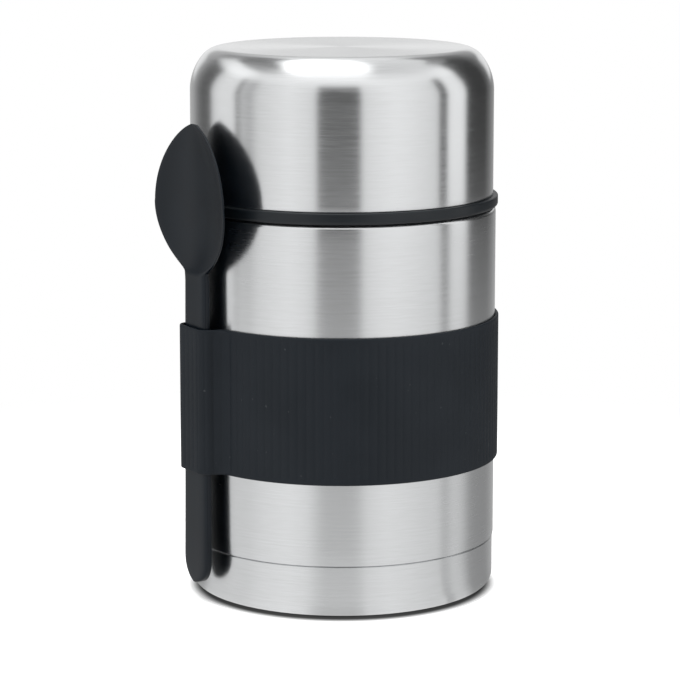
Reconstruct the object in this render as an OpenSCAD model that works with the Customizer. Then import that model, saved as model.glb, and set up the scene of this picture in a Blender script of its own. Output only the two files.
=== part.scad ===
// Insulated food jar: a double-walled steel jar with a screw stopper and vent button,
// a domed bowl lid that screws over the stopper, a silicone sleeve and a spoon.
// The origin is the centre of the foot on the table, +Z is up, and the spoon is on the -X side.

/* [Body] */
// Outer diameter of the steel body
body_d = 100; // [92:1:110]
// Height of the body's shoulder above the table
shoulder_h = 125.4; // [120:0.2:140]
// Radius of the rounded edge where the wall meets the shoulder
shoulder_edge_r = 1.4; // [1.2:0.1:2]
// Width of the shoulder, from the wall in to the neck
shoulder_w = 9; // [8.5:0.1:9.6]
// Height of the neck above the shoulder
neck_h = 17.6; // [16:0.2:20]
// Thickness of the outer steel wall
wall_t = 0.6; // [0.5:0.05:0.7]
// Thickness of the inner steel wall
liner_t = 0.5; // [0.4:0.05:0.6]
// Vacuum gap between the two walls
vacuum_gap = 4.5; // [3.5:0.1:5.5]
// Vacuum gap in the neck
neck_gap = 1.4; // [1.2:0.1:1.6]
// Radius of the inside bottom corner of the food cavity
cavity_corner_r = 8.5; // [6:0.5:12]

/* [Base] */
// Height of the seam above the table, where the base cap meets the body
seam_h = 16.6; // [15:0.1:20]
// How far the base cap's side lies inside the body's side
base_inset = 0.3; // [0.2:0.05:0.4]
// Sheet thickness of the base cap
base_t = 0.55; // [0.45:0.05:0.65]
// Radius of the rounded edge at the foot
base_edge_r = 4; // [3:0.2:5]
// Width of the flat foot ring
foot_w = 7.5; // [5:0.5:9]
// Height of the recessed panel above the foot
foot_rise = 1.8; // [1:0.1:2.4]

/* [Lid] */
// Height of the flat top of the lid above the body's shoulder
lid_top_h = 51.5; // [50:0.1:65]
// How far the lid's steel side lies inside the body's side
lid_inset = 0.88; // [0.7:0.02:1]
// Height of the rounded shoulder of the lid
dome_h = 13.8; // [12.5:0.1:15]
// Width of the rounded shoulder of the lid
dome_w = 9.8; // [9.2:0.1:10.5]
// Radius where the lid's shoulder turns into its flat top
dome_top_r = 7.5; // [6.5:0.1:8.2]
// Height of the black rim ring under the steel
rim_h = 3.7; // [3.4:0.1:4.4]
// How far the rim ring stands proud of the body's side
rim_proud = 0.7; // [0.5:0.05:0.8]
// Radius of the ring's rounded lower edge
rim_edge_r = 1.2; // [0.9:0.1:1.6]
// Sheet thickness of the steel dome
dome_t = 0.6; // [0.5:0.05:0.7]
// Air gap between the steel dome and the plastic bowl
dome_gap = 0.85; // [0.6:0.05:1]
// Wall thickness of the plastic bowl
bowl_t = 1.8; // [1.5:0.05:1.9]

/* [Stopper] */
// Radial room for the thread between the neck and the stopper's skirt
thread_room = 1.3; // [1.1:0.05:1.4]
// Wall thickness of the stopper's skirt
skirt_t = 2.3; // [2:0.05:2.4]
// Height of the stopper's skirt below the mouth
skirt_drop = 14.8; // [13:0.2:15]
// Thickness of the stopper's top
stopper_top_t = 2.2; // [1.8:0.1:2.8]
// How deep the plug reaches below the mouth
plug_drop = 21; // [18:0.5:25]
// Wall thickness of the plug
plug_t = 2; // [1.6:0.1:2.4]
// Height of the plug's flange above the mouth, which holds the gasket
gasket_h = 2; // [1.6:0.1:2.4]
// Number of finger flutes round the stopper
flutes = 24; // [18:1:30]

/* [Vent button] */
// Diameter of the vent button
button_d = 17.6; // [16:0.2:19]
// How far the button stands proud of the stopper
button_proud = 2; // [1.6:0.1:2.3]
// Travel of the button
button_travel = 2.2; // [1.8:0.1:2.4]
// Diameter of the vent stem
stem_d = 4; // [3.6:0.1:4.4]
// Wire diameter of the return spring
wire_d = 0.8; // [0.6:0.05:0.9]
// Number of curls in the return spring
curls = 4; // [3:1:4]

/* [Sleeve] */
// Height of the sleeve's lower edge above the table
sleeve_low_h = 43.3; // [38:0.1:50]
// Height of the sleeve
sleeve_h = 46.9; // [42:0.1:52]
// Thickness of the sleeve
sleeve_t = 1.2; // [0.9:0.1:1.5]
// Wall thickness over the spoon's pocket
pocket_t = 1.1; // [0.9:0.1:1.4]
// Radius of the pocket's outer corners
pocket_edge_r = 4.3; // [3.6:0.1:4.8]
// Radius of the fillet where the pocket meets the ring
pocket_root_r = 6; // [4:0.5:8]

/* [Spoon] */
// Height of the handle's end above the table
spoon_foot_h = 6.5; // [5:0.1:12]
// Whole length of the spoon
spoon_l = 148.4; // [145:0.2:152]
// Width of the handle near its end
handle_end_w = 15.4; // [14:0.1:17]
// Width of the handle at the neck
handle_neck_w = 13.2; // [12:0.1:14]
// Thickness of the handle
handle_t = 3.2; // [2.8:0.1:3.8]
// How far the handle stands out from the lid's rim ring
handle_off = 1.3; // [0.6:0.1:1.8]
// How far the handle's end leans out beyond its neck
handle_lean = 0.5; // [0:0.1:1]
// Width of the bowl
spoon_bowl_w = 45.7; // [42:0.1:49]
// Length of the bowl
spoon_bowl_l = 47.6; // [43:0.2:52]
// Thickness of the bowl's wall
spoon_bowl_t = 1.5; // [1.2:0.1:1.8]
// How far the bowl's rim stands out beyond the handle's face
spoon_bowl_out = 2; // [1.2:0.1:3]

/* [Hidden] */
$fn = 96;

// Clearances: a press seat, a sliding seat, the spoon in its pocket, and the overrun of a cut
seat_gap = 0.05;
slide_gap = 0.35;
pocket_gap = 0.25;
cut = 1;

// Body
body_r = body_d/2;
neck_r = body_r - shoulder_w;
neck_fillet_r = 1.5;
mouth_h = shoulder_h + neck_h;
lip_r = (wall_t + neck_gap + liner_t)/2;
lip_h = mouth_h - lip_r;
mouth_r = neck_r - 2*lip_r;
lip_mid_r = neck_r - lip_r;

// Base: the shell steps in below the seam and the cap slides over it
seam_gap = 0.3;
cap_r = body_r - base_inset;
step_room = 0.15;
step_r = cap_r - base_t - step_room;
shell_foot_h = base_edge_r + foot_rise;
panel_edge_r = 1.2;
foot_in_r = cap_r - base_edge_r - foot_w;
plate_r = step_r - wall_t - seat_gap;
plate_rise = 3.4;
plate_h = shell_foot_h + plate_rise;
plate_edge_r = 1.8;
dimple_r = 7;
dimple_rise = 1.1;
dimple_edge_r = 0.8;
pump_hole_r = 1.5;

// Inner liner
cavity_r = body_r - wall_t - vacuum_gap - liner_t;
floor_gap = 2.6;
cavity_floor_h = plate_h + floor_gap + liner_t;
cavity_top_h = shoulder_h - wall_t - vacuum_gap - liner_t;
cavity_shoulder_r = 3.5;
liner_fillet_r = 2;

// Getter tablet, welded on the bottom plate
getter_r = 6;
getter_t = 1.7;
getter_out = 22;

// Lid
lid_r = body_r - lid_inset;
lid_gap = 0.3;
rim_low_h = shoulder_h + lid_gap;
rim_top_h = rim_low_h + rim_h;
rim_r = body_r + rim_proud;
rim_top_edge_r = 0.5;
dome_side_r = (dome_w*dome_w + dome_h*dome_h - 2*dome_h*dome_top_r)/(2*(dome_w - dome_top_r));
dome_top_h = shoulder_h + lid_top_h;
dome_low_h = dome_top_h - dome_h;
snap_h = 4;
lid_seal_w = 1.3;
lid_seal_h = 2;
lid_seal_r = body_r - shoulder_edge_r - lid_seal_w - seat_gap;
groove_gap = 0.3;

// Stopper
skirt_in_r = neck_r + thread_room;
skirt_r = skirt_in_r + skirt_t;
skirt_low_h = mouth_h - skirt_drop;
gasket_low_h = mouth_h + seat_gap;
flange_low_h = gasket_low_h + gasket_h + seat_gap;
flange_t = 1.8;
plate_low_h = flange_low_h + flange_t + seat_gap;
stopper_top_h = plate_low_h + stopper_top_t;
stopper_edge_r = 2;
plug_gap = 1.2;
plug_r = mouth_r - plug_gap;
plug_low_h = mouth_h - plug_drop;
plug_edge_r = 3.5;
gasket_room = 0.36;
gasket_in_r = plug_r + gasket_room;
gasket_out_r = neck_r + thread_room/2;
tube_r = 4.5;
tube_t = 1.8;
flute_r = 2.4;
flute_deep = 0.45;
flute_h = 6;
foam_gap = 0.2;

// Vent button
button_r = button_d/2;
well_r = button_r + slide_gap;
well_t = 1.8;
well_floor_t = 1.4;
button_top_t = 1.5;
button_skirt_t = 1.2;
button_h = 5.2;
button_edge_r = 1;
button_top_h = stopper_top_h + button_proud;
button_low_h = button_top_h - button_h;
well_floor_h = button_low_h - button_travel - slide_gap;
stem_r = stem_d/2;
stub_r = 2.7;
stub_drop = 3;
stub_low_h = well_floor_h - well_floor_t - stub_drop;
stub_bore_deep = 5;
stem_end_r = 1.5;
port_room = 1.1;
port_r = stem_r + port_room;
ring_wire_r = (tube_r - stem_r)/2 - seat_gap;
ring_mid_r = (tube_r + stem_r)/2;
collar_t = 0.6;
vent_seal_r = 6;
vent_seal_t = 1.4;
retainer_r = 3.6;
retainer_t = 1.4;
stem_low_h = plug_low_h - 2*seat_gap - vent_seal_t - seat_gap - retainer_t;

// Return spring: a helix of round wire between the well's floor and the button's top
spring_r = 5.2;
spring_low_h = well_floor_h + seat_gap;
spring_top_h = button_top_h - button_top_t - seat_gap;
curl_rings = 8;
spring_rings = curl_rings*curls;
spring_pitch = (spring_top_h - spring_low_h - wire_d)/curls;
wire_sides = 6;

// Sleeve
sleeve_r = body_r + sleeve_t;
sleeve_top_h = sleeve_low_h + sleeve_h;
sleeve_edge_share = 0.45;
sleeve_edge_r = sleeve_edge_share*sleeve_t;
pocket_half_w = handle_end_w/2 + pocket_gap;
pocket_out = rim_r + handle_off + handle_t + handle_lean + pocket_gap;
pocket_skin_out = pocket_out + pocket_t;
pocket_skin_w = pocket_half_w + pocket_t;

// Spoon
handle_front = rim_r + handle_off + handle_t;
bowl_front = handle_front + spoon_bowl_out;
spoon_tip_h = spoon_foot_h + spoon_l;
bowl_up_share = 0.564;
bowl_up = spoon_bowl_l*bowl_up_share;
bowl_down = spoon_bowl_l - bowl_up;
bowl_mid_h = spoon_tip_h - bowl_up;
bowl_low_h = bowl_mid_h - bowl_down;
bowl_back_r = rim_r + slide_gap;
hollow_deep = bowl_front - spoon_bowl_t - bowl_back_r;
neck_blend_l = 11;
neck_h_low = bowl_low_h - neck_blend_l/3;
handle_end_share = 0.52;
handle_end_l = handle_end_share*handle_end_w;
thin_edge_share = 0.35;

// Rows and points of the spoon's skin, the angles at which its ends begin, and its curves' powers
spoon_sides = 28;
end_rows = 5;
handle_rows = 6;
bowl_rows = 14;
end_angle = 15;
tip_angle = 88.5;
edge_power = 0.55;
tip_power = 0.69;
low_power = 0.6;
hollow_power = 0.8;
blend_power = 3.1;

// A sector of a disc between two angles, less than 180 degrees
module sector(r, from, to) {
    intersection() {
        circle(r = r);
        polygon([[0, 0],
            [2*r*cos(from), 2*r*sin(from)],
            [2*r*cos((from + to)/2), 2*r*sin((from + to)/2)],
            [2*r*cos(to), 2*r*sin(to)]]);
    }
}

// Right half of a drum's outline, with its outer edges rounded above and below
module drum(r, low, top, top_edge = 0, low_edge = 0) {
    difference() {
        translate([0, low]) square([r, top - low]);
        if (top_edge > 0) translate([r - top_edge, top - top_edge]) square([top_edge + cut, top_edge + cut]);
        if (low_edge > 0) translate([r - low_edge, low - cut]) square([low_edge + cut, low_edge + cut]);
    }
    if (top_edge > 0) translate([r - top_edge, top - top_edge]) circle(r = top_edge);
    if (low_edge > 0) translate([r - low_edge, low + low_edge]) circle(r = low_edge);
}

// The hollow corner between a level face and an upright one, grown inwards by inset
module root_fillet(r, h, fillet, inset) {
    difference() {
        translate([r - inset, h - inset]) square(fillet + inset);
        translate([r + fillet, h + fillet]) circle(r = fillet + inset);
    }
}

// The outer steel shell as a filled outline, inset by a wall
module shell_outline(inset, low, top) {
    drum(body_r - inset, seam_h + seam_gap + inset, shoulder_h - inset, shoulder_edge_r - inset);
    translate([0, low]) square([step_r - inset, seam_h + seam_gap + 2*inset - low + cut]);
    translate([0, shoulder_h - inset - cut]) square([neck_r - inset, top - shoulder_h + inset + cut]);
    root_fillet(neck_r, shoulder_h, neck_fillet_r, inset);
}

// The food cavity as a filled outline, grown outwards by a wall
module cavity_outline(grow, top) {
    drum(cavity_r + grow, cavity_floor_h - grow, cavity_top_h + grow,
        cavity_shoulder_r + grow, cavity_corner_r + grow);
    translate([0, cavity_top_h]) square([mouth_r + grow, top - cavity_top_h]);
    difference() {
        translate([mouth_r + grow, cavity_top_h + grow]) square(liner_fillet_r - grow);
        translate([mouth_r + liner_fillet_r, cavity_top_h + liner_fillet_r])
            circle(r = liner_fillet_r - grow);
    }
}

// The lid's dome as a filled outline: an upright side, a large arc, a small arc and a flat top.
// The last two shapes fill the middle, a little below the arcs' centres as well
module dome_outline(inset, low) {
    side_x = lid_r - dome_side_r;
    top_x = lid_r - dome_w;
    top_z = dome_top_h - dome_top_r;
    turn = atan2(top_z - dome_low_h, top_x - side_x);
    translate([0, low]) square([lid_r - inset, dome_low_h - low]);
    translate([side_x, dome_low_h]) sector(dome_side_r - inset, 0, turn);
    translate([top_x, top_z]) sector(dome_top_r - inset, turn, 90);
    polygon([[0, dome_low_h - cut], [side_x, dome_low_h - cut], [side_x, dome_low_h], [top_x, top_z],
        [top_x, dome_top_h - inset], [0, dome_top_h - inset]]);
    polygon([[side_x - cut, dome_low_h - cut], [side_x + dome_side_r - inset - cut, dome_low_h - cut],
        [side_x + cut, dome_low_h], [side_x - cut, dome_low_h]]);
}

module outer_shell() {
    color("silver") rotate_extrude() difference() {
        shell_outline(0, shell_foot_h, lip_h);
        shell_outline(wall_t, shell_foot_h - cut, lip_h + cut);
    }
}

module inner_liner() {
    color("lightgray") rotate_extrude() {
        difference() {
            cavity_outline(liner_t, lip_h);
            cavity_outline(0, lip_h + cut);
        }
        intersection() {
            translate([lip_mid_r, lip_h]) circle(r = lip_r);
            translate([mouth_r, lip_h]) square([2*lip_r, lip_r]);
        }
    }
}

module bottom_plate() {
    color("gainsboro") rotate_extrude() difference() {
        union() {
            drum(plate_r, shell_foot_h, plate_h, plate_edge_r);
            drum(dimple_r, shell_foot_h, plate_h + dimple_rise, dimple_edge_r);
        }
        drum(plate_r - wall_t, shell_foot_h - cut, plate_h - wall_t, plate_edge_r - wall_t);
        drum(dimple_r - wall_t, shell_foot_h, plate_h + dimple_rise - wall_t, dimple_edge_r/2);
        square([pump_hole_r, plate_h + dimple_rise + cut]);
    }
}

module getter() {
    color("dimgray") translate([getter_out, 0, 0]) rotate_extrude() difference() {
        drum(getter_r, plate_h, plate_h + getter_t, getter_t/3);
        drum(getter_r - getter_t, plate_h + getter_t/2, plate_h + getter_t + cut);
    }
}

module vacuum_bead() {
    bead_top = plate_h + dimple_rise - wall_t;
    color("darkkhaki") rotate_extrude() {
        drum(dimple_r - 2*wall_t - seat_gap, bead_top - 2*dimple_rise, bead_top,
            dimple_edge_r, dimple_edge_r);
        translate([0, bead_top - dimple_rise]) square([pump_hole_r - seat_gap, dimple_rise + wall_t]);
    }
}

module base_cap() {
    color("silver") rotate_extrude() difference() {
        drum(cap_r, 0, seam_h, 0, base_edge_r);
        difference() {
            drum(cap_r - base_t, base_t, seam_h + cut, 0, base_edge_r - base_t);
            drum(foot_in_r + base_t, 0, foot_rise + base_t, panel_edge_r);
        }
        drum(foot_in_r, -cut, foot_rise, panel_edge_r - base_t);
    }
}

// Middle of the pocket's outer corner, and of the fillet that runs from it into the ring,
// both seen from above on the +Y side
corner_mid = [pocket_edge_r - pocket_skin_out, pocket_skin_w - pocket_edge_r];
root_reach = sleeve_r + pocket_root_r;
root_step = pocket_edge_r + pocket_root_r;
corner_reach = norm(corner_mid);
root_share = (corner_reach*corner_reach + root_reach*root_reach - root_step*root_step)
    /(2*corner_reach*root_reach);
root_turn = atan2(corner_mid[1], -corner_mid[0]) + acos(root_share);
root_mid = root_reach*[-cos(root_turn), sin(root_turn)];

// Outline of the pocket from above: a flat front, round corners, and fillets that touch the ring
module pocket_outline() {
    for (side = [0, 1]) mirror([0, side]) {
        translate(corner_mid) circle(r = pocket_edge_r);
        difference() {
            polygon([[-pocket_skin_out, 0], [-pocket_skin_out, corner_mid[1]], corner_mid, root_mid,
                root_mid*body_r/root_reach, [sleeve_t - body_r, 0]]);
            translate(root_mid) circle(r = pocket_root_r);
        }
    }
}

// Outline of the pocket's hollow: a rounded box that reaches into the ring
module hollow_outline() {
    edge = pocket_edge_r/2;
    for (side = [-1, 1]) translate([edge - pocket_out, side*(pocket_half_w - edge)]) circle(r = edge);
    translate([-pocket_out, edge - pocket_half_w])
        square([pocket_out - body_r + sleeve_t, 2*(pocket_half_w - edge)]);
    translate([edge - pocket_out, -pocket_half_w])
        square([pocket_out - edge - body_r + 2*sleeve_t, 2*pocket_half_w]);
}

module sleeve() {
    color([0.17, 0.18, 0.2]) difference() {
        union() {
            rotate_extrude() difference() {
                drum(sleeve_r, sleeve_low_h, sleeve_top_h, sleeve_edge_r, sleeve_edge_r);
                translate([0, sleeve_low_h - cut]) square([body_r + seat_gap, sleeve_h + 2*cut]);
            }
            difference() {
                translate([0, 0, sleeve_low_h]) linear_extrude(sleeve_h) pocket_outline();
                translate([0, 0, sleeve_low_h - cut]) cylinder(r = body_r + seat_gap, h = sleeve_h + 2*cut);
            }
        }
        translate([0, 0, sleeve_low_h - cut]) linear_extrude(sleeve_h + 2*cut) hollow_outline();
    }
}

module stopper_gasket() {
    color([0.75, 0.76, 0.78]) rotate_extrude() {
        translate([gasket_in_r, 0]) drum(gasket_out_r - gasket_in_r, gasket_low_h, gasket_low_h + gasket_h,
            gasket_h/4, gasket_h/4);
    }
}

module stopper_cap() {
    color([0.2, 0.2, 0.22]) difference() {
        rotate_extrude() difference() {
            union() {
                drum(skirt_r, skirt_low_h, stopper_top_h, stopper_edge_r, skirt_t/4);
                drum(well_r + well_t, well_floor_h - well_floor_t, stopper_top_h);
            }
            difference() {
                translate([0, skirt_low_h - cut]) square([skirt_in_r, plate_low_h - skirt_low_h + cut]);
                drum(well_r + well_t, well_floor_h - well_floor_t, stopper_top_h);
            }
            translate([0, well_floor_h]) square([well_r, stopper_top_h - well_floor_h + cut]);
            square([stub_r + slide_gap, stopper_top_h]);
        }
        for (i = [0:flutes - 1]) rotate(360*i/flutes)
            translate([skirt_r + flute_r - flute_deep, 0, stopper_top_h - stopper_edge_r - flute_h])
                cylinder(r = flute_r, h = flute_h + stopper_edge_r + cut);
    }
}

module stopper_plug() {
    tube_top = well_floor_h - well_floor_t - seat_gap;
    color([0.24, 0.24, 0.26]) rotate_extrude() difference() {
        union() {
            difference() {
                union() {
                    drum(plug_r, plug_low_h, plate_low_h - seat_gap, 0, plug_edge_r);
                    drum(skirt_in_r - seat_gap, flange_low_h, flange_low_h + flange_t);
                }
                drum(plug_r - plug_t, plug_low_h + plug_t, plate_low_h + cut, 0, plug_edge_r - plug_t);
            }
            translate([0, plug_low_h + plug_t/2])
                square([tube_r + tube_t, tube_top - plug_low_h - plug_t/2]);
        }
        translate([0, plug_low_h + plug_t]) square([tube_r, tube_top - plug_low_h]);
        translate([0, plug_low_h - cut]) square([port_r, plug_t + 2*cut]);
    }
}

module stopper_foam() {
    color("ivory") rotate_extrude() difference() {
        drum(plug_r - plug_t - foam_gap, plug_low_h + plug_t + foam_gap, plate_low_h - foam_gap,
            0, plug_edge_r - plug_t);
        square([tube_r + tube_t + foam_gap, plate_low_h + cut]);
        translate([0, well_floor_h - well_floor_t - foam_gap])
            square([well_r + well_t + foam_gap, plate_low_h - well_floor_h + well_floor_t + cut]);
    }
}

// One ring of the wire at a turn given in curls, square to the helix within a few degrees
function wire_ring(turns, lift) = [for (k = [0:wire_sides - 1])
    let (a = 360*k/wire_sides, out = spring_r + wire_d/2*cos(a))
    [out*cos(360*turns), out*sin(360*turns), lift + wire_d/2*sin(a)]];

// Height of the wire's middle after a number of curls
function wire_lift(turns) = spring_low_h + wire_d/2 + spring_pitch*turns;

module vent_spring() {
    rings = [for (i = [0:spring_rings]) wire_ring(i/curl_rings, wire_lift(i/curl_rings))];
    mids = [for (ring = rings) (ring[0] + ring[wire_sides/2])/2];
    gaps = [for (i = [0:spring_rings], j = [i + curl_rings/2:1:spring_rings])
        norm(mids[i] - mids[j]) - wire_d];
    points = [for (ring = rings) each ring];
    last = spring_rings*wire_sides;
    sides = [for (i = [0:spring_rings - 1], k = [0:wire_sides - 1])
        let (a = i*wire_sides + k, b = i*wire_sides + (k + 1) % wire_sides)
        each [[a, a + wire_sides, b], [b, a + wire_sides, b + wire_sides]]];
    ends = [[for (k = [0:wire_sides - 1]) k], [for (k = [wire_sides - 1:-1:0]) last + k]];
    echo(spring_gap = min(gaps));
    color("silver") polyhedron(points = points, faces = concat(sides, ends));
}

module vent_button() {
    color([0.35, 0.36, 0.38]) rotate_extrude() difference() {
        union() {
            difference() {
                drum(button_r, button_low_h, button_top_h, button_edge_r);
                drum(button_r - button_skirt_t, button_low_h - cut, button_top_h - button_top_t);
            }
            translate([0, stub_low_h]) square([stub_r, button_top_h - button_top_t/2 - stub_low_h]);
        }
        translate([0, stub_low_h - cut]) square([stem_end_r + seat_gap, stub_bore_deep + cut]);
    }
}

module vent_stem() {
    collar_top = stub_low_h - 2*ring_wire_r - 2*seat_gap;
    seal_low = stem_low_h + retainer_t;
    color([0.4, 0.41, 0.43]) rotate_extrude() {
        translate([0, seal_low]) square([stem_r, stub_low_h - seat_gap - seal_low]);
        translate([0, seal_low]) square([stem_end_r, stub_low_h + stub_bore_deep - seat_gap - seal_low]);
        translate([0, collar_top - collar_t]) square([stub_r, collar_t]);
        drum(retainer_r, stem_low_h, seal_low, 0, retainer_t/2);
    }
}

module stem_ring() {
    color("darkslategray") translate([0, 0, stub_low_h - ring_wire_r - seat_gap])
        rotate_extrude() translate([ring_mid_r, 0]) circle(r = ring_wire_r);
}

module vent_seal() {
    seal_low = stem_low_h + retainer_t + seat_gap;
    color([0.75, 0.76, 0.78]) rotate_extrude() difference() {
        drum(vent_seal_r, seal_low, seal_low + vent_seal_t, 0, vent_seal_t/2);
        square([stem_r + seat_gap, mouth_h]);
    }
}

module lid_seal() {
    color([0.3, 0.31, 0.33]) rotate_extrude() translate([lid_seal_r, 0])
        drum(lid_seal_w, shoulder_h + seat_gap, shoulder_h + seat_gap + lid_seal_h,
            lid_seal_w/4, lid_seal_w/4);
}

module lid_shell() {
    color("silver") rotate_extrude() difference() {
        dome_outline(0, rim_top_h);
        dome_outline(dome_t, rim_top_h - cut);
    }
}

module lid_bowl() {
    bowl_inset = dome_t + dome_gap;
    color([0.13, 0.13, 0.14]) rotate_extrude() difference() {
        union() {
            drum(rim_r, rim_low_h, rim_top_h, rim_top_edge_r, rim_edge_r);
            dome_outline(bowl_inset, rim_low_h + rim_h/2);
            translate([0, rim_low_h + rim_h/2]) square([lid_r - dome_t - seat_gap, rim_h/2 + snap_h]);
        }
        dome_outline(bowl_inset + bowl_t, rim_low_h - cut);
        translate([lid_seal_r - groove_gap, rim_low_h - cut])
            square([lid_seal_w + 2*groove_gap, lid_seal_h - lid_gap + groove_gap + cut]);
    }
}

// A share eased from 0 to 1
function ease(t) = t <= 0 ? 0 : t >= 1 ? 1 : t*t*(3 - 2*t);

// Half width of the spoon at a height: the handle's taper and its round end, and the oval bowl
function handle_half(z) = let (s = min(1, (z - spoon_foot_h)/(bowl_low_h - spoon_foot_h)),
        e = max(0, 1 - (z - spoon_foot_h)/handle_end_l),
        w = handle_end_w + (handle_neck_w - handle_end_w)*s)
    z > bowl_mid_h ? 0 : w/2*sqrt(max(0, 1 - e*e));
function bowl_off(z) = z > bowl_mid_h ? (z - bowl_mid_h)/bowl_up : (bowl_mid_h - z)/bowl_down;
function bowl_half(z) = let (u = bowl_off(z), power = z > bowl_mid_h ? tip_power : low_power)
    u >= 1 ? 0 : spoon_bowl_w/2*pow(1 - u*u, power);
function spoon_half(z) =
    pow(pow(handle_half(z), blend_power) + pow(bowl_half(z), blend_power), 1/blend_power);

// Distance of the spoon's front from the jar's axis, its thickness and the depth of its hollow
function spoon_front(z) = let (lean = handle_lean*max(0, (bowl_low_h - z)/(bowl_low_h - spoon_foot_h)),
        out = z > bowl_mid_h ? 1 - pow(bowl_off(z), 2) : ease((z - neck_h_low)/(bowl_mid_h - neck_h_low)))
    handle_front + lean + spoon_bowl_out*out;
function spoon_thick(z) = handle_t + (spoon_bowl_t - handle_t)*ease((z - neck_h_low)/neck_blend_l);
function spoon_hollow(z) = let (u = bowl_off(z)) u >= 1 ? 0 : hollow_deep*pow(1 - u*u, hollow_power);

// One closed outline across the spoon, a flat oval with soft edges bent to the hollow's curve
function spoon_ring(z) = let (w = spoon_half(z),
        t = spoon_thick(z)*min(1, thin_edge_share + w/spoon_bowl_t/2))
    [for (i = [0:spoon_sides - 1]) let (a = 360*i/spoon_sides,
        across = sign(cos(a))*pow(abs(cos(a)), edge_power),
        through = sign(sin(a))*pow(abs(sin(a)), edge_power))
        [-(spoon_front(z) - t/2 + through*t/2 - spoon_hollow(z)*(1 - across*across)), across*w, z]];

module spoon() {
    end_top = spoon_foot_h + handle_end_l;
    end_steps = [for (i = [0:end_rows]) end_top - handle_end_l*cos(end_angle + (90 - end_angle)*i/end_rows)];
    handle_steps = [for (i = [1:handle_rows]) end_top + (neck_h_low - end_top)*i/handle_rows];
    low_steps = [for (i = [1:bowl_rows]) neck_h_low + (bowl_mid_h - neck_h_low)*i/bowl_rows];
    up_steps = [for (i = [1:bowl_rows]) bowl_mid_h + bowl_up*sin(tip_angle*i/bowl_rows)];
    heights = concat(end_steps, handle_steps, low_steps, up_steps);
    count = len(heights);
    points = [for (z = heights) each spoon_ring(z)];
    last = (count - 1)*spoon_sides;
    walls = [for (i = [0:count - 2], k = [0:spoon_sides - 1])
        let (a = i*spoon_sides + k, b = i*spoon_sides + (k + 1) % spoon_sides)
        each [[a, a + spoon_sides, b], [b, a + spoon_sides, b + spoon_sides]]];
    ends = [[for (k = [0:spoon_sides - 1]) k], [for (k = [spoon_sides - 1:-1:0]) last + k]];
    color([0.14, 0.14, 0.15]) polyhedron(points = points, faces = concat(walls, ends));
}

outer_shell();
inner_liner();
bottom_plate();
getter();
vacuum_bead();
base_cap();
sleeve();
stopper_gasket();
stopper_cap();
stopper_plug();
stopper_foam();
vent_spring();
vent_button();
vent_stem();
stem_ring();
vent_seal();
lid_seal();
lid_shell();
lid_bowl();
spoon();
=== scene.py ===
import math

import bpy
import numpy as np
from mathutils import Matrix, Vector


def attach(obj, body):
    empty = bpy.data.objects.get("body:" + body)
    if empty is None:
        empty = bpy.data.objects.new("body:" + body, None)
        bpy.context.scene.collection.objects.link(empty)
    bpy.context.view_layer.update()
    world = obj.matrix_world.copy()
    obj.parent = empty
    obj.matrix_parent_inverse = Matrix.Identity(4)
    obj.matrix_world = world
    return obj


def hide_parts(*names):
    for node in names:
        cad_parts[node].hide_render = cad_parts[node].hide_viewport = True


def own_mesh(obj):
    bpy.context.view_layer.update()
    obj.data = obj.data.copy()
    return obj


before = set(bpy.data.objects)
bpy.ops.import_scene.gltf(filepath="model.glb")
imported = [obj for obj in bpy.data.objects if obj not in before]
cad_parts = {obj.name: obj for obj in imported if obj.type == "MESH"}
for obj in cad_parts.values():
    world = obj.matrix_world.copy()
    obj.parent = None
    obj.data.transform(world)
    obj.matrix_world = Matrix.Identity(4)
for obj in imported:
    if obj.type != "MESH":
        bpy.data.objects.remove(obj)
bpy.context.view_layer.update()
mm = 0.001
nearly = 0.01  # as near as this, in millimetres, counts as on a surface
sameSpot = 1e-5  # and as near as this as the same point
fullTurn = 2*math.pi
print("frame loaded with", len(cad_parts), "nodes")


# Points along an arc: its centre plus its radius times the cosine and sine of evenly spaced angles
def arcRun(centreX, centreY, radius, fromDeg, toDeg, count):
    turn = np.radians(np.linspace(fromDeg, toDeg, count))
    return np.stack([centreX + radius*np.cos(turn), centreY + radius*np.sin(turn)], axis=1)


# Points along a straight line, evenly spaced from start to end
def lineRun(start, end, count=2):
    share = np.linspace(0, 1, count)[:, None]
    return np.asarray(start, float)*(1 - share) + np.asarray(end, float)*share


# Runs of points joined end to end, each point that repeats the one before it left out
def joinedRuns(*runs):
    points = np.vstack(runs)
    step = np.linalg.norm(np.diff(points, axis=0), axis=1)
    return points[np.concatenate([[True], step > sameSpot])]


# Straight runs from corner to corner, each with its own count of points
def cornerRun(corners, counts):
    return joinedRuns(*(lineRun(*ends) for ends in zip(corners, corners[1:], counts)))


# Several sizes of a piece at once
def sizesOf(piece, names):
    return [piece[name] for name in names.split()]


# A share that eases from 0 to 1 while value goes from low to high: t*t*(3 - 2*t)
def eased(value, low, high):
    share = np.clip((value - low)/(high - low), 0, 1)
    return share*share*(3 - 2*share)


# A closed outline of a ring's section: a rectangle with its four corners rounded by the same edge
def roundedSection(ring, count=7):
    inner, outer, low, high, edge = sizesOf(ring, "inner outer low high edge")
    return joinedRuns(
        arcRun(outer - edge, low + edge, edge, -90, 0, count),
        arcRun(outer - edge, high - edge, edge, 0, 90, count),
        arcRun(inner + edge, high - edge, edge, 90, 180, count),
        arcRun(inner + edge, low + edge, edge, 180, 270, count))


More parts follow.
